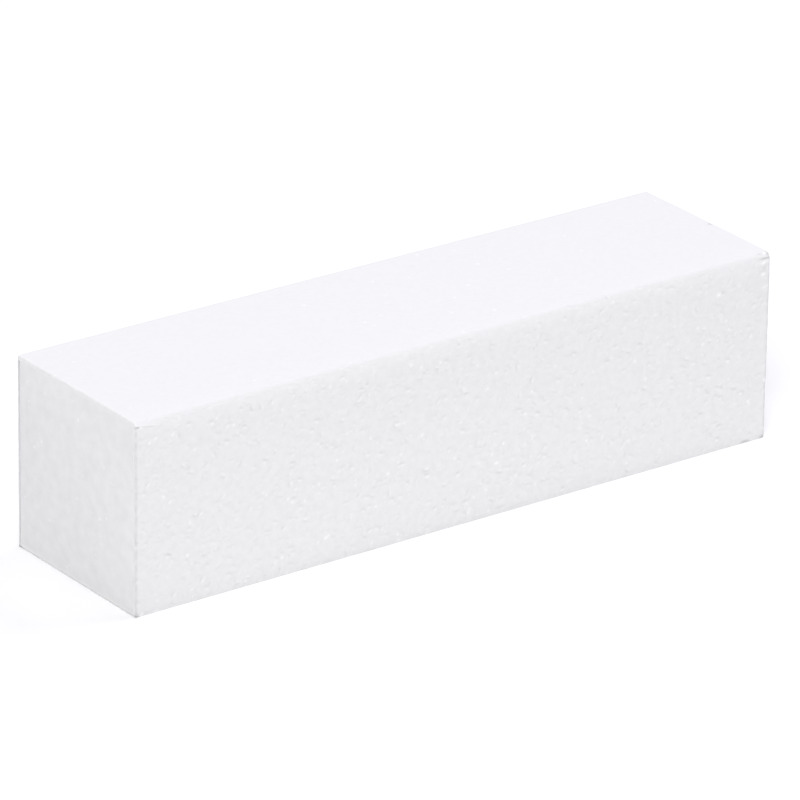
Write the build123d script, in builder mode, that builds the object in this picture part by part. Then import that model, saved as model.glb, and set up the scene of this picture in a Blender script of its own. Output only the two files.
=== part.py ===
from build123d import *
import os

# A four-sided nail buffer block: a foam bar with a strip of abrasive paper glued on each long side.
# Millimetres. +X runs along the bar, -Y is its front and +Z is up. The origin is the centre of the
# bottom side. The strips stop flush with the bar's two ends, which are bare cut foam.

# Driving dimensions
block_length = 95.0
block_width = 25.0
block_height = 25.0
adhesive_thickness = 0.05
backing_thickness = 0.25
grit_coat_thickness = 0.20

# Worked out from those
glue_depth = grit_coat_thickness + backing_thickness
sheet_thickness = glue_depth + adhesive_thickness
core_width = block_width - 2 * sheet_thickness
core_height = block_height - 2 * sheet_thickness
# The paper's long edges are rounded through its thickness, and the grit coat runs round them.
backing_edge_radius = backing_thickness
coat_edge_radius = backing_edge_radius + grit_coat_thickness

# The way each side faces in the bar's cross-section: along Y, along Z
sides = {
    "top": (0, 1),
    "bottom": (0, -1),
    "front": (-1, 0),
    "back": (1, 0),
}

# The cross-section at the left end, centred on the bar, with Y to the right and Z up
section = Plane(origin=(-block_length / 2, 0, block_height / 2), x_dir=(0, 1, 0), z_dir=(1, 0, 0))


def outline(depth, edge_radius, mode=Mode.ADD):
    """The bar's outline at a depth below its sides, with long edges of that radius."""
    RectangleRounded(block_width - 2 * depth, block_height - 2 * depth, edge_radius, mode=mode)


def keep_layer(side, outer_depth, inner_depth):
    """Cuts the sketch down to one side's strip, between two depths below that side.

    The top and bottom strips reach across the whole bar. The front and back strips fit between them.
    """
    faces_y, faces_z = sides[side]
    thickness = inner_depth - outer_depth
    middle_depth = (outer_depth + inner_depth) / 2
    centre = (faces_y * (block_width / 2 - middle_depth), faces_z * (block_height / 2 - middle_depth))
    size = (block_width, thickness) if faces_z else (thickness, core_height)
    with Locations(centre):
        Rectangle(*size, mode=Mode.INTERSECT)


def grit_coat(side):
    """The abrasive coat, which also covers the backing's rounded long edges down to the foam."""
    with BuildPart() as coat:
        with BuildSketch(section):
            outline(0, coat_edge_radius)
            outline(grit_coat_thickness, backing_edge_radius, mode=Mode.SUBTRACT)
            keep_layer(side, 0, sheet_thickness)
        extrude(amount=block_length)
    return coat.part


def backing(side):
    """The paper sheet that carries the grit coat."""
    with BuildPart() as paper:
        with BuildSketch(section):
            outline(grit_coat_thickness, backing_edge_radius)
            keep_layer(side, grit_coat_thickness, glue_depth)
        extrude(amount=block_length)
    return paper.part


def adhesive(side):
    """The film of glue between the paper and the foam, as wide as the paper."""
    with BuildPart() as film:
        with BuildSketch(section):
            outline(grit_coat_thickness, backing_edge_radius)
            keep_layer(side, glue_depth, sheet_thickness)
        extrude(amount=block_length)
    return film.part


def finish(piece, name):
    """Labels a piece and writes it to its own file."""
    piece.label = name
    export_step(piece, f"parts/{name}.step")


os.makedirs("parts", exist_ok=True)

with BuildPart() as foam_core:
    with BuildSketch(section):
        Rectangle(core_width, core_height)
    extrude(amount=block_length)
finish(foam_core.part, "foam_core")

for side in sides:
    finish(grit_coat(side), f"{side}_grit_coat")
    finish(backing(side), f"{side}_backing")
    finish(adhesive(side), f"{side}_adhesive")
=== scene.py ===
import itertools
import math

import bpy
import numpy as np
from mathutils import Matrix, Vector
from mathutils.geometry import delaunay_2d_cdt


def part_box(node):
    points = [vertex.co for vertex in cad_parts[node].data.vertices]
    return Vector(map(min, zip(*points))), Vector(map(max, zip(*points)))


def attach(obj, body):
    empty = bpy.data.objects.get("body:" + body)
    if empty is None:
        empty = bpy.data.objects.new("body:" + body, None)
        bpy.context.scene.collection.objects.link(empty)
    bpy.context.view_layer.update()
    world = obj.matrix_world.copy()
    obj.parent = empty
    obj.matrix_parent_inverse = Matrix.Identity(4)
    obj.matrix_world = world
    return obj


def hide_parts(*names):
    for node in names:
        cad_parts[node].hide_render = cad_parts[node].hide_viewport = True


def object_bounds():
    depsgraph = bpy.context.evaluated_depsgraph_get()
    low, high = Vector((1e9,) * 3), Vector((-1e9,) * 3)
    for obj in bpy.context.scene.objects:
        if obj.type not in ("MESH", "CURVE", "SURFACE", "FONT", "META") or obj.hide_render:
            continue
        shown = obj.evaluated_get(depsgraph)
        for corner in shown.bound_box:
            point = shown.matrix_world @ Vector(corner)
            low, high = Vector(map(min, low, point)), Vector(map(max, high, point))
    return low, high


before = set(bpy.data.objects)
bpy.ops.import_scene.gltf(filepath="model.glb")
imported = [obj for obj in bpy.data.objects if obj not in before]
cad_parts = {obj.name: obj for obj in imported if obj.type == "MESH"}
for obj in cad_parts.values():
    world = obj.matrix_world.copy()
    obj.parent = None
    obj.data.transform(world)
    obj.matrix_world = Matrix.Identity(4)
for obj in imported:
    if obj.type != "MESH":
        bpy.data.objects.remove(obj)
cad_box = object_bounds()

# A four-sided nail buffer block: a bar of closed-cell foam with a strip of abrasive paper glued on
# each long side. Sizes are in millimetres until a mesh, a lamp or the camera is made. +X runs along
# the bar, -Y is its front and +Z is up. On a strip, "along" is X, "across" is its width and "out" is
# the height over the bar's side, which is below zero in the sheet.

MM = 0.001


# ---------------------------------------------------------------- sizes, from the frame

def box_size(box):
    """The size of a box along X, Y and Z in millimetres, from its two corners in metres."""
    low, high = box
    return np.array(high - low) / MM


block_length, block_width, block_height = box_size(cad_box)
core_height = box_size(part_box("foam_core"))[2]
coat_thickness = box_size(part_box("front_grit_coat"))[1]
backing_thickness = box_size(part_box("front_backing"))[1]
glue_thickness = box_size(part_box("front_adhesive"))[1]
glue_depth = coat_thickness + backing_thickness
sheet_thickness = glue_depth + glue_thickness
half_length = block_length / 2
half_side = block_height / 2

# The way each side faces. The top and bottom strips wrap over the bar's long edges, and the front
# and back strips fit between them.
SIDES = {
    "top": Vector((0, 0, 1)),
    "bottom": Vector((0, 0, -1)),
    "front": Vector((0, -1, 0)),
    "back": Vector((0, 1, 0)),
}
WRAPPED = ("top", "bottom")


# ---------------------------------------------------------------- grain, as maps

# A map is a grid of values over a surface, this far apart. A mark is a value that tints the surface,
# dull below zero and bright above, and this is how far it also raises the surface for each 1.
MAP_SPACING = 0.10
MARK_DEPTH = 0.05

# How strong each strip's marks are, how strong they at least are at its first long edge and how far
# that reaches, how high its grain is, and how many loose grains lie on each square millimetre of it.
# The top one's are all weaker: its grit is finer, and its marks' painted shade and highlights are
# kept faint, as light from above reaches into its pits.
MARK_STRENGTH = {"top": 0.18, "bottom": 1.0, "front": 1.0, "back": 1.0}
EDGE_STRENGTH = 0.7
EDGE_STRENGTH_REACH = 1.2
GRAIN_HEIGHT = {"top": 0.4, "bottom": 1.0, "front": 1.0, "back": 1.0}
LOOSE_GRAINS = {"top": 0.012, "bottom": 0.08, "front": 0.08, "back": 0.08}

# Single marks: how far along and across the strip, the oval's two sizes, its turn in degrees, and its
# strength, which is below zero for a pit. The dark ones at the bottom corners and at the top's right
# front corner are nearly black nicks; the two dark ones under the top edge of the front are painted
# shade, under the top's frayed corner at the left end and under its curled corner at the right end.
# The bright ones are flecks.
SPOT_MARKS = {
    "front": (
        # painted shade under the top's frayed corner
        (0.20, 23.90, 0.35, 0.13, 0, -1.5),
        (0.80, 23.80, 0.16, 0.14, 0, 1.6),
        (3.05, 23.55, 0.20, 0.13, 0, 1.5),
        # painted shade under the top's curled corner
        (94.40, 23.85, 0.60, 0.09, 0, -2.6),
        (94.00, 23.30, 0.22, 0.13, 0, 1.5),
        (94.10, 22.50, 0.35, 0.25, 90, -0.7),
        (93.95, 21.80, 0.20, 0.12, 0, 1.4),
        (94.30, 20.00, 0.30, 0.14, 0, 0.9),
        (87.00, 20.60, 0.20, 0.15, 0, 1.1),
    ),
    "top": (
        (94.75, 0.55, 0.16, 0.30, 0, -2.4),
        (94.35, 0.60, 0.20, 0.16, 0, 1.5),
        (93.60, 0.75, 0.30, 0.10, 0, -1.2),
        (94.75, 12.00, 0.25, 0.25, 0, -1.2),
    ),
    "bottom": (
        (0.10, 25.60, 0.18, 0.22, 0, -3.2),
        (0.90, 25.65, 0.12, 0.12, 0, 1.5),
        (92.00, 25.60, 0.45, 0.12, 0, -2.5),
        (94.75, 25.50, 0.25, 0.25, 0, -2.2),
        (0.00, 0.50, 0.42, 0.42, 0, -9.0),
    ),
    "back": (),
}


def band_noise(shape, wavelength, rng):
    """Noise of unit strength on a map, with bumps about one wavelength apart."""
    rows = np.fft.fftfreq(shape[0], MAP_SPACING)[:, None]
    columns = np.fft.rfftfreq(shape[1], MAP_SPACING)[None, :]
    middle = 1 / wavelength
    band = np.exp(-((np.hypot(rows, columns) - middle) / (0.45 * middle)) ** 2)
    made = np.fft.irfft2(np.fft.rfft2(rng.standard_normal(shape)) * band, s=shape)
    return made / made.std()


def add_oval(field, centre, size, turn, height):
    """Adds one turned oval bump to a map, or a pit if its height is below zero."""
    reach = 3 * max(size)
    low = [max(0, math.floor((c - reach) / MAP_SPACING)) for c in centre]
    high = [min(n, math.ceil((c + reach) / MAP_SPACING) + 1) for c, n in zip(centre, field.shape)]
    rows = np.arange(low[0], high[0])[:, None] * MAP_SPACING - centre[0]
    columns = np.arange(low[1], high[1])[None, :] * MAP_SPACING - centre[1]
    long_way = (rows * math.cos(turn) + columns * math.sin(turn)) / size[0]
    short_way = (columns * math.cos(turn) - rows * math.sin(turn)) / size[1]
    bump = height * np.exp(-0.5 * (long_way ** 2 + short_way ** 2))
    field[low[0]:high[0], low[1]:high[1]] += bump


def pits_and_highlights(shape, per_mm2, lengths, pit, highlight, rng):
    """A map of marks: below zero in a pit that a grain came out of, above zero on a bump beside it.

    The pit's dull tint is partly the resin under the lost grain and partly painted shade, and the
    bump's bright tint is a painted highlight standing in for the lit wall of the pit; in three marks
    of four the bump lies on the same side. lengths is the range of a mark's length, and pit and
    highlight are how strong its two parts are. Most marks lie nearly along the strip.
    """
    marks = np.zeros(shape)
    extent = [n * MAP_SPACING for n in shape]
    for _ in range(round(extent[0] * extent[1] * per_mm2)):
        centre = np.array([rng.uniform(0, e) for e in extent])
        size = (rng.uniform(*lengths), rng.uniform(0.09, 0.12))
        turn = rng.normal(-0.25, 0.15) if rng.random() < 0.65 else rng.uniform(0, math.pi)
        strength = min(rng.gamma(2.0, 0.5), 3.0)
        add_oval(marks, centre, size, turn, -pit * strength)
        way = rng.choice((-1, 1), p=(0.75, 0.25))
        beside = 0.28 * way * np.array((-math.sin(turn), math.cos(turn)))
        add_oval(marks, centre + beside, (0.6 * size[0], size[1]), turn, highlight * strength)
    return marks


def add_glinting_grains(marks, per_mm2, rng):
    """Adds single loose grains to a map of marks: small bumps whose bright tint is a painted glint.
    """
    extent = [n * MAP_SPACING for n in marks.shape]
    for _ in range(round(extent[0] * extent[1] * per_mm2)):
        centre = [rng.uniform(0, e) for e in extent]
        size = rng.uniform(0.08, 0.13, 2)
        add_oval(marks, centre, size, rng.uniform(0, math.pi), rng.uniform(0.3, 1.2))


def levelled(height):
    """A height map lowered so that its tallest points reach zero, with the last few cut off there."""
    return np.minimum(height - np.quantile(height, 0.99), 0)


def grit_maps(side, shape, rng):
    """A strip's height over the bar's side in millimetres, at most zero, and its marks."""
    from_first = MAP_SPACING * np.arange(shape[1])
    near_edge = EDGE_STRENGTH * np.exp(-(from_first / EDGE_STRENGTH_REACH) ** 2)
    pitted = pits_and_highlights(shape, per_mm2=0.90, lengths=(0.10, 0.36), pit=0.25, highlight=0.23, rng=rng)
    marks = np.maximum(MARK_STRENGTH[side], near_edge) * pitted
    add_glinting_grains(marks, LOOSE_GRAINS[side], rng)
    for along, across, length, width, turn, strength in SPOT_MARKS[side]:
        add_oval(marks, (along, across), (length, width), math.radians(turn), strength)
    height = 0.006 * np.abs(band_noise(shape, 1.1, rng))
    height += 0.003 * band_noise(shape, 0.6, rng)
    height *= GRAIN_HEIGHT[side]
    height += 0.006 * band_noise(shape, 9.0, rng)
    height += MARK_DEPTH * marks
    return levelled(height), marks


def foam_maps(shape, rng):
    """The height of a cut foam end in millimetres, at most zero, and its marks: opened cells, bright
    on one rim as a painted highlight.
    """
    marks = pits_and_highlights(shape, per_mm2=0.12, lengths=(0.10, 0.17), pit=0.12, highlight=0.60, rng=rng)
    height = 0.003 * band_noise(shape, 0.5, rng)
    height += 0.004 * np.abs(band_noise(shape, 0.9, rng))
    height += 0.5 * MARK_DEPTH * marks
    return levelled(height), marks


def map_shape(length, width):
    """The shape of a map that covers that length and width in millimetres."""
    return math.ceil(length / MAP_SPACING) + 1, math.ceil(width / MAP_SPACING) + 1


def sample(field, rows, columns):
    """Reads a map at those distances from its corner, down and across."""
    def places(distances, count):
        place = np.clip(distances / MAP_SPACING, 0, count - 1.001)
        whole = place.astype(int)
        return whole, place - whole

    r, down = places(rows, field.shape[0])
    c, over = places(columns, field.shape[1])
    down = down[:, None]
    near = field[np.ix_(r, c)] * (1 - over) + field[np.ix_(r, c + 1)] * over
    far = field[np.ix_(r + 1, c)] * (1 - over) + field[np.ix_(r + 1, c + 1)] * over
    return near * (1 - down) + far * down


# ---------------------------------------------------------------- meshes

# How far apart the points of a hidden flat side are, and the angle from which an edge stays sharp
HIDDEN_SPACING = 2.5
SHARP_ANGLE = math.radians(50)

# The two last settings of the fill: keep only what is inside, and how close points may be merged
INSIDE_ONLY = 1
SAME_POINT = 1e-6


def stations(length, spacing, end_steps):
    """Distances along a length: a few given steps at each end, and even ones between them."""
    ends = np.cumsum([0.0, *end_steps])
    count = round((length - 2 * ends[-1]) / spacing) + 1
    between = np.linspace(ends[-1], length - ends[-1], count)
    return np.concatenate((ends[:-1], between, (length - ends[:-1])[::-1]))


def grid_faces(index):
    """Four-sided faces over a grid of point numbers."""
    corners = (index[:-1, :-1], index[1:, :-1], index[1:, 1:], index[:-1, 1:])
    return np.stack(corners, axis=-1).reshape(-1, 4).tolist()


def fill_flat(outline, numbers, first_free):
    """Fills a flat outline with triangles that are larger away from its edge.

    outline holds its corners' places and numbers their point numbers. Returns the places of the
    points that it adds, which are numbered from first_free, and the triangles.
    """
    low = outline.min(axis=0) + HIDDEN_SPACING
    high = outline.max(axis=0) - HIDDEN_SPACING / 2
    inner = [
        (x, y)
        for x in np.arange(low[0], high[0], HIDDEN_SPACING)
        for y in np.arange(low[1], high[1], HIDDEN_SPACING)
    ]
    count = len(outline)
    filled = delaunay_2d_cdt(
        [*map(Vector, outline), *map(Vector, inner)],
        [],
        [list(range(count))],
        INSIDE_ONLY,
        SAME_POINT,
    )
    names = [
        numbers[source[0]] if source[0] < count else first_free + source[0] - count
        for source in filled[3]
    ]
    return np.array(inner).reshape(-1, 2), [[names[v] for v in face] for face in filled[2]]


def closed_sheet(outer, inner, rim):
    """The points and faces of a closed sheet.

    outer and inner are grids of points on its two sides, in rows across the bar. The inner side
    keeps its points at the two ends and in the first and last rim columns. The rest of it is flat
    and hidden against the next layer, so larger triangles fill it.
    """
    rows, columns = outer.shape[:2]
    top = np.arange(rows * columns).reshape(rows, columns)
    kept = np.zeros((rows, columns), bool)
    kept[[0, -1], :] = True
    kept[:, :rim] = True
    kept[:, -rim:] = True
    under = np.full((rows, columns), -1)
    under[kept] = rows * columns + np.arange(kept.sum())

    faces = grid_faces(top)
    faces += grid_faces(under[:, :rim][:, ::-1])
    faces += grid_faces(under[:, -rim:][:, ::-1])
    faces += grid_faces(np.stack((under[:, 0], top[:, 0]), axis=1))
    faces += grid_faces(np.stack((top[:, -1], under[:, -1]), axis=1))
    faces += grid_faces(np.stack((under[0], top[0]), axis=0))
    faces += grid_faces(np.stack((top[-1], under[-1]), axis=0))

    left, right, last = rim - 1, columns - rim, rows - 1
    ring = [(0, c) for c in range(left, right)]
    ring += [(r, right) for r in range(last)]
    ring += [(last, c) for c in range(right, left, -1)]
    ring += [(r, left) for r in range(last, 0, -1)]
    ring_points = np.array([inner[place] for place in ring])
    level = ring_points[:, 2].mean()
    first_free = rows * columns + int(kept.sum())
    numbers = [int(under[place]) for place in ring]
    added, triangles = fill_flat(ring_points[:, :2], numbers, first_free)
    faces += [face[::-1] for face in triangles]
    added = np.column_stack((added, np.full(len(added), level)))
    return np.concatenate((outer.reshape(-1, 3), inner[kept], added)), faces


def on_side(side, points):
    """Turns (along, across, out) of a strip into X, Y and Z. Along is 0 at the left end."""
    outward = SIDES[side]
    along = Vector((1, 0, 0))
    across = outward.cross(along)
    turn = np.array((along, across, outward))
    corner = np.array((-half_length, 0, half_side)) + half_side * np.array(outward)
    return points @ turn + corner


def add_piece(name, points, faces, node, material):
    """Makes a smooth mesh of points in millimetres, which stands for a CAD node."""
    mesh = bpy.data.meshes.new(name)
    mesh.from_pydata((points * MM).tolist(), [], faces)
    mesh.shade_smooth()
    mesh.set_sharp_from_angle(angle=SHARP_ANGLE)
    mesh.materials.append(material)
    piece = bpy.data.objects.new(name, mesh)
    bpy.context.scene.collection.objects.link(piece)
    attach(piece, "root")
    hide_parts(node)
    return piece


def keep_marks(piece, marks):
    """Stores the marks of a piece's first points for its material. Its other points have none."""
    values = np.zeros(len(piece.data.vertices), np.float32)
    values[:marks.size] = marks.ravel()
    piece.data.attributes.new("marks", "FLOAT", "POINT").data.foreach_set("value", values)


# ---------------------------------------------------------------- the strips' layers

# How far apart a coat's points are along and across it, and its shorter steps at its cut ends
GRIT_ALONG = 0.20
GRIT_ACROSS = 0.145
GRIT_END_STEPS = (0.04, 0.06, 0.10)

# The same along a paper or glue layer
PLAIN_ALONG = 4.0
PLAIN_END_STEPS = (0.2, 0.4, 0.8, 1.6)

# The steps round a turned long edge, and the columns of points from its foot to the first flat one
EDGE_STEPS = 6
RIM_COLUMNS = EDGE_STEPS + 2

# The radius that the knife rolled the top's cut edges to, at the left and right ends, and how far
# the bar's corners and its top front edge are pushed in by handling
END_RADIUS = (0.25, 0.12)
CORNER_PRESS = 0.02
CORNER_REACH = 0.6
EDGE_PRESS = 0.15
EDGE_REACH = 1.5

# The radii of each wrapped strip's first and second long edge. The block lies on the bottom one,
# which is pressed square. Then the least radius of a coat's inner side, and those of the paper.
EDGE_RADII = {"top": (glue_depth, 0.20), "bottom": (0.04, 0.04)}
LEAST_RADIUS = 0.02
BACKING_RADII = (0.22, 0.22)

# How far a wrapped coat's turned edge stands back from the coat that it meets
EDGE_SETBACK = 0.03

# The radius of a coat's cut edges, and how deep its relief goes at most, so that no pit comes through
CUT_RADIUS = 0.5 * coat_thickness
DEEPEST_RELIEF = 0.5 * coat_thickness

# Lines along a coat: how far across it, how wide, and how strong they are as marks, lighter above
# zero and darker below. On the top they are painted light along the foot of its front edge, painted
# shade over that edge's rounded arc, which catches more light, and a darker line along its back edge.
# On the front it is painted light on the stretch below the top edge.
EDGE_TONE = {
    "top": ((0.00, 0.22, 0.22), (0.45, 0.30, -0.50), (25.30, 0.30, -0.30)),
    "bottom": (),
    "front": ((24.00, 1.20, 0.20),),
    "back": (),
}

# How much darker a coat is where it is cut at the left and right ends, as marks, or lighter if below
# zero, and how wide that is. At the top's left end it is painted light over the rolled cut edge,
# which lies in shade; on the front and back the cut edges are darker.
END_TONE = {"top": (-0.25, 0.1), "bottom": (0.1, 0.1), "front": (1.0, 1.0), "back": (2.2, 0.7)}
END_TONE_WIDTH = 0.20

# How far the cut edges stand back from the bar's ends: a coat's, each strip's paper's, and the
# glue's as a multiple of the paper's. Then the most that this varies along an edge, and how far
# along the bar a layer's points give way to it.
COAT_RECESS = 0.02
CUT_RECESS = {"top": 0.003, "bottom": 0.003, "front": 0.03, "back": 0.30}
GLUE_RECESS = 1.5
MOST_RAGGED = 0.03
CUT_REACH = 2.0

# The top coat's frayed corner, which hangs over the front at the left end: its length, the stretch
# where it is torn off, how far its edge is lifted at the end and hangs at the tear, and how far its
# two skins stand out
FLAP_LENGTH = 3.6
FLAP_TEAR = 0.30
FLAP_LIFT = 0.10
FLAP_DROP = 0.60
FLAP_OUT = 0.16
FLAP_INNER_OUT = 0.22


def flat_columns(half_width):
    """How many columns of points a layer's flat stretch has."""
    return round(2 * half_width / GRIT_ACROSS) + 1


def rounded_section(half_width, depth, foot, radii, count):
    """The outer line of a layer's cross-section, from one long edge to the other.

    It runs at a depth below the bar's side, with that count of points. With radii, its two long
    edges turn down to the foot depth. Returns the points (across, out) and the way each one faces.
    """
    if radii is None:
        flat = np.linspace(-half_width, half_width, count)
        return np.column_stack((flat, np.full(count, -depth))), np.tile((0.0, 1.0), (count, 1))
    flat = np.linspace(-half_width + radii[0], half_width - radii[1], count)
    points = np.column_stack((flat, np.full(count, -depth)))
    facing = np.tile((0.0, 1.0), (count, 1))
    turn = np.linspace(math.pi, math.pi / 2, EDGE_STEPS + 1)[:-1]
    turned = np.column_stack((np.cos(turn), np.sin(turn)))
    edge_facing = np.vstack(((-1.0, 0.0), turned))
    edges = [
        np.vstack(((-half_width, -foot), turned * radius + (radius - half_width, -depth - radius)))
        for radius in radii
    ]
    mirror = (-1.0, 1.0)
    points = np.vstack((edges[0], points, (edges[1] * mirror)[::-1]))
    facing = np.vstack((edge_facing, facing, (edge_facing * mirror)[::-1]))
    return points, facing


def section_lengths(points):
    """How far along a section each of its points is."""
    steps = np.linalg.norm(np.diff(points, axis=0), axis=1)
    return np.concatenate(([0.0], np.cumsum(steps)))


def ragged_cut(lengths, recess, rng):
    """How far back from the bar's end a cut edge stands, at each point of a section."""
    shape = map_shape(0, lengths[-1])
    waves = band_noise(shape, 4.0, rng)[0]
    fibres = band_noise(shape, 0.6, rng)[0]
    depth = recess + min(recess, MOST_RAGGED) * (0.5 * waves + 0.5 * fibres)
    return np.interp(lengths, MAP_SPACING * np.arange(shape[1]), np.maximum(depth, 0))


def patchy(lengths, rng):
    """A share that comes and goes along an edge, 1 on average."""
    shape = map_shape(0, lengths[-1])
    share = np.maximum(1 + 0.25 * band_noise(shape, 1.5, rng)[0], 0)
    return np.interp(lengths, MAP_SPACING * np.arange(shape[1]), share)


def cut_to_length(along, near_cut, far_cut):
    """Where along the bar each point of a layer lies, between the layer's two cut edges."""
    near = np.clip(1 - along / CUT_REACH, 0, 1)[:, None] ** 2
    far = np.clip(1 - (block_length - along) / CUT_REACH, 0, 1)[:, None] ** 2
    return along[:, None] + near * near_cut - far * far_cut


def rounded_end(gap, radius):
    """How far a rounded edge has dropped below its face, at a distance from the end."""
    inside = np.clip(radius - gap, 0, radius)
    return radius - np.sqrt(radius ** 2 - inside ** 2)


def pressed(points):
    """Rolls the top down at both cut ends, and pushes in the corners and the top front edge."""
    gap = half_length - np.abs(points[:, 0])
    roll = rounded_end(gap, np.where(points[:, 0] < 0, *END_RADIUS))
    upward = np.clip(points[:, 2] / half_side - 1, 0, 1)
    moved = points.copy()
    moved[:, 2] -= roll * upward ** 4
    from_edge = np.hypot(points[:, 1] + half_side, points[:, 2] - block_height)
    push = EDGE_PRESS / math.sqrt(2) * np.exp(-from_edge / EDGE_REACH)
    moved[:, 1] += push
    moved[:, 2] -= push
    for way in itertools.product((-1, 1), repeat=3):
        outward = np.array(way)
        corner = outward * (half_length, half_side, half_side) + (0, 0, half_side)
        distance = np.linalg.norm(points - corner, axis=1)
        inward = CORNER_PRESS / math.sqrt(3) * np.exp(-((distance / CORNER_REACH) ** 2))
        moved -= outward * inward[:, None]
    return moved


def layer_grid(section, along, cuts):
    """A layer's points (along, across, out) on a grid, from its section and its cut edges."""
    rows = len(along)
    grid = np.empty((rows, len(section), 3))
    grid[:, :, 0] = cut_to_length(along, *cuts)
    grid[:, :, 1:] = section
    return grid


def hang_flap(outer, inner, along, rng):
    """Lets the coat's first long edge hang down and stand out near the left end, in a torn flap."""
    torn = np.clip((FLAP_LENGTH + FLAP_TEAR - along) / FLAP_TEAR, 0, 1)
    ragged = 1 + 0.12 * band_noise((len(along), 1), 0.7, rng)[:, 0]
    drop = np.interp(along, (0, FLAP_LENGTH), (-FLAP_LIFT, FLAP_DROP)) * torn * ragged
    share = np.linspace(1, 0, RIM_COLUMNS)
    for grid, out in ((outer, FLAP_OUT), (inner, FLAP_INNER_OUT)):
        grid[:, :RIM_COLUMNS, 1] -= out * torn[:, None] * share
        grid[:, :RIM_COLUMNS, 2] -= drop[:, None] * share


def grit_coat(side, rng):
    """The abrasive coat of one strip, with its grain as real relief, and the marks of its points."""
    columns = flat_columns(core_height / 2)
    if side in WRAPPED:
        radii = EDGE_RADII[side]
        section, facing = rounded_section(half_side, 0, sheet_thickness, radii, columns)
        radii = [max(radius - coat_thickness, LEAST_RADIUS) for radius in radii]
        inner_half = half_side - coat_thickness
        lining, _ = rounded_section(inner_half, coat_thickness, sheet_thickness, radii, columns)
        rim = RIM_COLUMNS
    else:
        section, facing = rounded_section(core_height / 2, 0, 0, None, columns)
        lining = section - (0, coat_thickness)
        rim = 1
    lengths = section_lengths(section)
    along = stations(block_length, GRIT_ALONG, GRIT_END_STEPS)
    height, marks = grit_maps(side, map_shape(block_length, lengths[-1]), rng)
    relief = sample(height, along, lengths)
    relief -= rounded_end(np.minimum(along, block_length - along), CUT_RADIUS)[:, None]
    relief = np.maximum(relief, -DEEPEST_RELIEF)
    cuts = [ragged_cut(lengths, COAT_RECESS, rng) for _ in range(2)]
    outer = layer_grid(section, along, cuts)
    outer[:, :, 1:] += relief[:, :, None] * facing
    outer[:, :, 1] -= EDGE_SETBACK * facing[:, 0]
    inner = layer_grid(lining, along, cuts)
    if side == "top":
        hang_flap(outer, inner, along, rng)
    marks = sample(marks, along, lengths)
    for across, width, strength in EDGE_TONE[side]:
        marks += strength * np.exp(-(((lengths - across) / width) ** 2))
    for end_darkening, gap in zip(END_TONE[side], (along, block_length - along)):
        end_share = np.exp(-(gap / END_TONE_WIDTH) ** 2)
        marks -= end_darkening * end_share[:, None] * patchy(lengths, rng)
    return (outer, inner, rim), marks


def flat_layer(side, depth, thickness, radii, recess, rng):
    """A paper or glue layer of one strip. Only its ragged cut edges can be seen."""
    if side in WRAPPED:
        half_width = half_side - coat_thickness
    else:
        half_width = core_height / 2
        radii = None
    columns = flat_columns(half_width)
    under = depth + thickness
    section, _ = rounded_section(half_width, depth, under - LEAST_RADIUS, radii, columns)
    rim = RIM_COLUMNS if radii else 1
    lengths = section_lengths(section)
    along = stations(block_length, PLAIN_ALONG, PLAIN_END_STEPS)
    cuts = [ragged_cut(lengths, recess, rng) for _ in range(2)]
    lining = np.column_stack((section[:, 0], np.full(len(section), -under)))
    lining[:rim, 0] = np.linspace(section[0, 0], section[rim - 1, 0], rim)
    lining[-rim:, 0] = np.linspace(section[-rim, 0], section[-1, 0], rim)
    return layer_grid(section, along, cuts), layer_grid(lining, along, cuts), rim


def add_layer(side, layer, grids, material):
    """Closes a layer's two grids into a piece on its side of the bar."""
    points, faces = closed_sheet(*grids)
    points = pressed(on_side(side, points))
    return add_piece(f"{side}_{layer}_visual", points, faces, f"{side}_{layer}", material)


# ---------------------------------------------------------------- the foam core

# How far apart the points of a cut end are, with its shorter steps at its edges, and the same along
# the bar's hidden sides
FOAM_SPACING = 0.16
FOAM_EDGE_STEPS = (0.03, 0.06, 0.10)
FOAM_ALONG = 5.0
FOAM_END_STEPS = (0.05, 0.10, 0.15, 0.3, 1.0, 2.0)
FOAM_EDGE_RADIUS = 0.01

# How far the foam swells out of each cut end, where the strips no longer hold it
FOAM_CROWN = 0.45


def foam_core(rng):
    """The foam bar, closed, with opened cells as relief on its two cut ends, and their marks."""
    places = stations(core_height, FOAM_SPACING, FOAM_EDGE_STEPS)
    count = len(places)
    gap = np.minimum(places, core_height - places)
    drop = rounded_end(np.minimum(gap[:, None], gap[None, :]), FOAM_EDGE_RADIUS)
    swell = 1 - np.abs(2 * places / core_height - 1) ** 3
    crown = FOAM_CROWN * np.outer(swell, swell)
    y, z = np.meshgrid(places - core_height / 2, places + sheet_thickness, indexing="ij")

    ends = []
    end_marks = []
    for way in (-1, 1):
        height, marks = foam_maps(map_shape(core_height, core_height), rng)
        x = way * (half_length + sample(height, places, places) - drop + crown)
        ends.append(np.stack((x, y, z), axis=-1).reshape(-1, 3))
        end_marks.append(sample(marks, places, places))

    index = np.arange(count * count).reshape(count, count)
    ring = np.concatenate((index[:-1, 0], index[-1, :-1], index[:0:-1, -1], index[0, :0:-1]))
    stops = stations(block_length, FOAM_ALONG, FOAM_END_STEPS)[1:-1] - half_length
    sides = [
        np.column_stack((np.full(len(ring), stop), y.ravel()[ring], z.ravel()[ring]))
        for stop in stops
    ]
    first = 2 * count * count
    hoops = [ring]
    hoops += [first + len(ring) * i + np.arange(len(ring)) for i in range(len(stops))]
    hoops.append(ring + count * count)
    hoops = np.array([np.append(hoop, hoop[0]) for hoop in hoops])
    faces = grid_faces(index[:, ::-1]) + grid_faces(index + count * count) + grid_faces(hoops.T)
    points = np.concatenate((*ends, *sides))
    return pressed(points), faces, np.stack(end_marks)


# ---------------------------------------------------------------- materials

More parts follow.
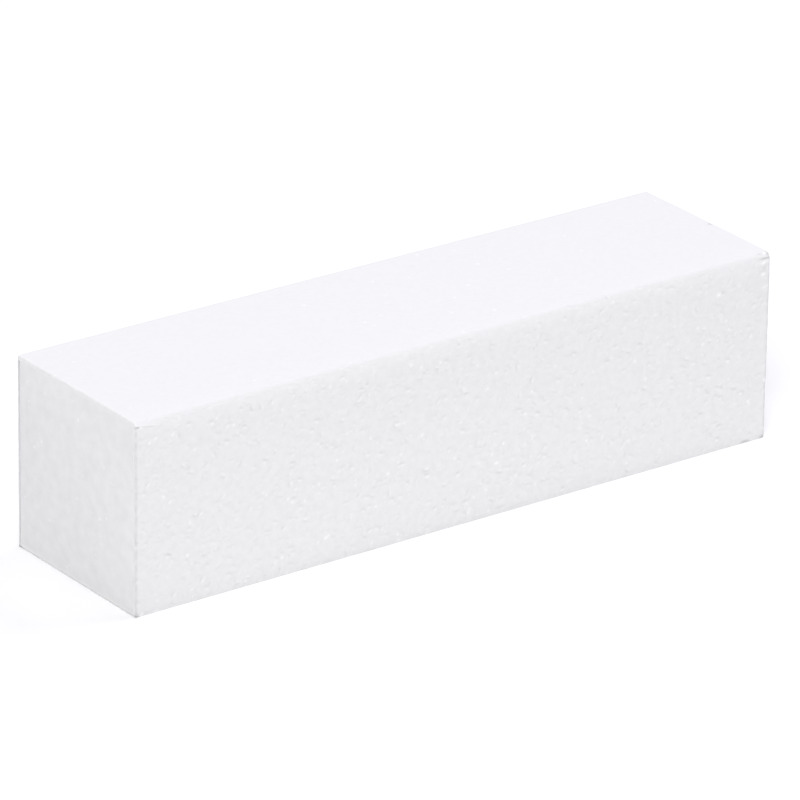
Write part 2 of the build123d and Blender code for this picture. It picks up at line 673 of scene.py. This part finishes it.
def new_material(name, color, roughness):
    """A material with a plain Principled shader. Returns it, its nodes and the shader."""
    material = bpy.data.materials.new(name)
    material.use_nodes = True
    shader = material.node_tree.nodes["Principled BSDF"]
    shader.inputs["Base Color"].default_value = (*color, 1)
    shader.inputs["Roughness"].default_value = roughness
    return material, shader


def add_node(material, kind, inputs=(), **settings):
    """A new node with its settings, and its input values or the outputs that feed them."""
    node = material.node_tree.nodes.new(kind)
    for key, value in settings.items():
        setattr(node, key, value)
    for key, value in dict(inputs).items():
        if isinstance(value, bpy.types.NodeSocket):
            material.node_tree.links.new(value, node.inputs[key])
        else:
            node.inputs[key].default_value = value
    return node


def object_place(material):
    """Where a point is on the block, in metres."""
    return add_node(material, "ShaderNodeTexCoord").outputs["Object"]


def noise(material, place, size_mm, detail=2.0, roughness=0.5):
    """Noise from 0 to 1 with lumps of that size."""
    inputs = {"Vector": place, "Scale": 1 / (size_mm * MM), "Detail": detail, "Roughness": roughness}
    return add_node(material, "ShaderNodeTexNoise", inputs).outputs["Fac"]


def cells(material, place, size_mm, output):
    """Cells of that size: "Distance" rises from each one's middle, "Color" differs for each."""
    inputs = {"Vector": place, "Scale": 1 / (size_mm * MM)}
    return add_node(material, "ShaderNodeTexVoronoi", inputs).outputs[output]


def marks_of(material):
    """The marks that the piece's points carry."""
    return add_node(material, "ShaderNodeAttribute", attribute_name="marks").outputs["Fac"]


def total(material, *values):
    """The sum of several values."""
    summed = values[0]
    for value in values[1:]:
        summed = add_node(material, "ShaderNodeMath", {0: summed, 1: value}).outputs["Value"]
    return summed


def spread(material, value, low, high, to_low, to_high):
    """Maps a range of a value on to another range."""
    inputs = {"Value": value, "From Min": low, "From Max": high, "To Min": to_low, "To Max": to_high}
    return add_node(material, "ShaderNodeMapRange", inputs).outputs["Result"]


def blend(material, share, low_color, high_color):
    """A blend of two colours, from a share of 0 to 1. The second may be an output."""
    if not isinstance(high_color, bpy.types.NodeSocket):
        high_color = (*high_color, 1)
    inputs = {"Factor": share, 6: (*low_color, 1), 7: high_color}
    return add_node(material, "ShaderNodeMix", inputs, data_type="RGBA").outputs[2]


def connect(material, shader, color, roughness, height, depth_mm):
    """Feeds the shader's colour and roughness, and its bump from a height of 0 to 1."""
    links = material.node_tree.links
    links.new(color, shader.inputs["Base Color"])
    links.new(roughness, shader.inputs["Roughness"])
    bump = add_node(material, "ShaderNodeBump", {"Height": height, "Distance": depth_mm * MM})
    links.new(bump.outputs["Normal"], shader.inputs["Normal"])


def grit_material(name, contrast):
    """White grain set in matt white resin: grey in its pits, partly as painted shade, with painted
    highlights beside them and on loose grains, nearly black at the darkest marks, glossy on loose
    grains.

    contrast is how much the tone and height of the grain change, from 0 to 1.
    """
    material, shader = new_material(name, (0.80, 0.80, 0.80), 0.8)
    place = object_place(material)
    marks = marks_of(material)
    patch = noise(material, place, 0.9, detail=3.0)
    grain_tone = cells(material, place, 0.11, "Color")
    # The marks' tint holds painted shade in pits and under the top's corners, painted highlights
    # beside pits and on loose grains, and painted light and shade along edges and cut ends.
    tone = total(
        material,
        spread(material, marks, -1, 1, 0, 1),
        spread(material, patch, 0.2, 0.8, -0.10 * contrast, 0.10 * contrast),
        spread(material, grain_tone, 0, 1, -0.05 * contrast, 0.05 * contrast),
    )
    white = blend(material, tone, (0.667, 0.667, 0.670), (0.937, 0.937, 0.940))
    # Marks below -1.5 turn the colour nearly black.
    outside_darkest_marks = spread(material, marks, -5.0, -1.5, 0, 1)
    color = blend(material, outside_darkest_marks, (0.20, 0.20, 0.21), white)
    gloss = spread(material, marks, 0.2, 1.0, 0.85, 0.45)
    grain = cells(material, place, 0.11, "Distance")
    height = spread(material, grain, 0, 0.7, 1, 0)
    connect(material, shader, color, gloss, height, 0.008 * contrast)
    shader.inputs["Specular IOR Level"].default_value = 0.35
    return material


def foam_material():
    """White closed-cell foam, cut open: matt, with fine walls round its cells."""
    material, shader = new_material("foam", (0.80, 0.80, 0.80), 0.9)
    place = object_place(material)
    marks = marks_of(material)
    walls = cells(material, place, 0.22, "Distance")
    patch = noise(material, place, 1.6, detail=3.0)
    # The marks' tint: opened cells, with a painted highlight on one rim.
    tone = total(
        material,
        spread(material, marks, -1, 1, 0, 1),
        spread(material, patch, 0.2, 0.8, -0.15, 0.15),
    )
    color = blend(material, tone, (0.685, 0.683, 0.686), (0.915, 0.912, 0.917))
    gloss = spread(material, walls, 0, 0.8, 0.95, 0.75)
    connect(material, shader, color, gloss, walls, 0.012)
    shader.inputs["Specular IOR Level"].default_value = 0.25
    return material


def paper_material():
    """The cut edge of white paper: fibres that lie along the sheet, a little darker than it."""
    material, shader = new_material("paper", (0.81, 0.81, 0.81), 0.9)
    place = object_place(material)
    flat = add_node(
        material, "ShaderNodeMapping", {"Vector": place, "Scale": (1.0, 0.3, 0.3)}
    ).outputs["Vector"]
    fibres = noise(material, flat, 0.05, detail=4.0, roughness=0.6)
    color = blend(material, fibres, (0.77, 0.77, 0.77), (0.86, 0.86, 0.855))
    gloss = spread(material, fibres, 0, 1, 0.8, 0.95)
    connect(material, shader, color, gloss, fibres, 0.01)
    return material


def glue_material():
    """Set laminating glue: milky, and glossier than what it joins."""
    material, shader = new_material("glue", (0.81, 0.81, 0.80), 0.4)
    place = object_place(material)
    flow = noise(material, place, 0.5, detail=2.0)
    color = blend(material, flow, (0.78, 0.78, 0.765), (0.84, 0.84, 0.825))
    gloss = spread(material, flow, 0, 1, 0.3, 0.5)
    connect(material, shader, color, gloss, flow, 0.01)
    return material


# ---------------------------------------------------------------- the block

SEED = 24
rng = np.random.default_rng(SEED)

core_points, core_faces, core_marks = foam_core(rng)
core = add_piece("foam_core_visual", core_points, core_faces, "foam_core", foam_material())
keep_marks(core, core_marks)

grit = grit_material("grit", 1.0)
fine_grit = grit_material("fine_grit", 0.4)
paper = paper_material()
glue = glue_material()
for side in SIDES:
    coat_grids, coat_marks = grit_coat(side, rng)
    coating = fine_grit if side == "top" else grit
    keep_marks(add_layer(side, "grit_coat", coat_grids, coating), coat_marks)
    recess = CUT_RECESS[side]
    paper_grids = flat_layer(side, coat_thickness, backing_thickness, BACKING_RADII, recess, rng)
    add_layer(side, "backing", paper_grids, paper)
    recess *= GLUE_RECESS
    glue_grids = flat_layer(side, glue_depth, glue_thickness, None, recess, rng)
    add_layer(side, "adhesive", glue_grids, glue)


# ---------------------------------------------------------------- floor, light and camera

SOFTBOX_SIZE = 1.1
SOFTBOX_DISTANCE = 2.0


def add_floor():
    """A plain pale floor that the block lies on."""
    half = 4.0
    mesh = bpy.data.meshes.new("floor")
    corners = [(-half, -half, 0), (half, -half, 0), (half, half, 0), (-half, half, 0)]
    mesh.from_pydata(corners, [], [(0, 1, 2, 3)])
    material, shader = new_material("floor", (0.95, 0.95, 0.95), 0.9)
    shader.inputs["Specular IOR Level"].default_value = 0.1
    mesh.materials.append(material)
    floor = bpy.data.objects.new("floor", mesh)
    bpy.context.scene.collection.objects.link(floor)


def add_softbox(name, azimuth, elevation, power, color):
    """A square soft lamp that shines on the block from that way, in degrees."""
    a, e = math.radians(azimuth), math.radians(elevation)
    from_block = Vector((math.sin(a) * math.cos(e), -math.cos(a) * math.cos(e), math.sin(e)))
    lamp = bpy.data.lights.new(name, "AREA")
    lamp.shape = "SQUARE"
    lamp.size = SOFTBOX_SIZE
    lamp.energy = power
    lamp.color = color
    softbox = bpy.data.objects.new(name, lamp)
    softbox.location = from_block * SOFTBOX_DISTANCE + Vector((0, 0, half_side * MM))
    softbox.rotation_mode = "QUATERNION"
    softbox.rotation_quaternion = from_block.to_track_quat("Z", "Y")
    bpy.context.scene.collection.objects.link(softbox)


def add_world(color, strength):
    """Even light from all round."""
    world = bpy.data.worlds.new("studio")
    world.use_nodes = True
    background = world.node_tree.nodes["Background"]
    background.inputs["Color"].default_value = (*color, 1)
    background.inputs["Strength"].default_value = strength
    bpy.context.scene.world = world


def add_camera(azimuth, elevation, roll, distance, drop, lens):
    """A camera that looks at the block from that way, in degrees and millimetres."""
    a, e, tilt = (math.radians(angle) for angle in (azimuth, elevation, roll))
    back = Vector((math.sin(a) * math.cos(e), -math.cos(a) * math.cos(e), math.sin(e)))
    level = Vector((math.cos(a), math.sin(a), 0))
    upright = back.cross(level)
    right = level * math.cos(tilt) + upright * math.sin(tilt)
    up = upright * math.cos(tilt) - level * math.sin(tilt)
    place = Vector((0, 0, half_side)) + back * distance - up * drop
    data = bpy.data.cameras.new("camera")
    data.sensor_width = 36.0
    data.lens = lens
    data.clip_start = 0.01
    data.clip_end = 50.0
    camera = bpy.data.objects.new("camera", data)
    turn = Matrix((right, up, back)).transposed().to_4x4()
    camera.matrix_world = Matrix.Translation(place * MM) @ turn
    bpy.context.scene.collection.objects.link(camera)
    bpy.context.scene.camera = camera


add_floor()
add_world((1.0, 1.0, 1.0), 0.29)
add_softbox("key", -44, 45, 25.8, (1.0, 0.998, 1.015))
add_softbox("right_light", 90, 50, 13.0, (1.0, 0.985, 1.04))
add_softbox("top_light", 180, 85, 9.6, (1.0, 0.970, 1.07))
add_camera(azimuth=-36.54, elevation=23.12, roll=0.89, distance=851.6, drop=0.37, lens=314.0)
bpy.context.scene.view_settings.view_transform = "Standard"
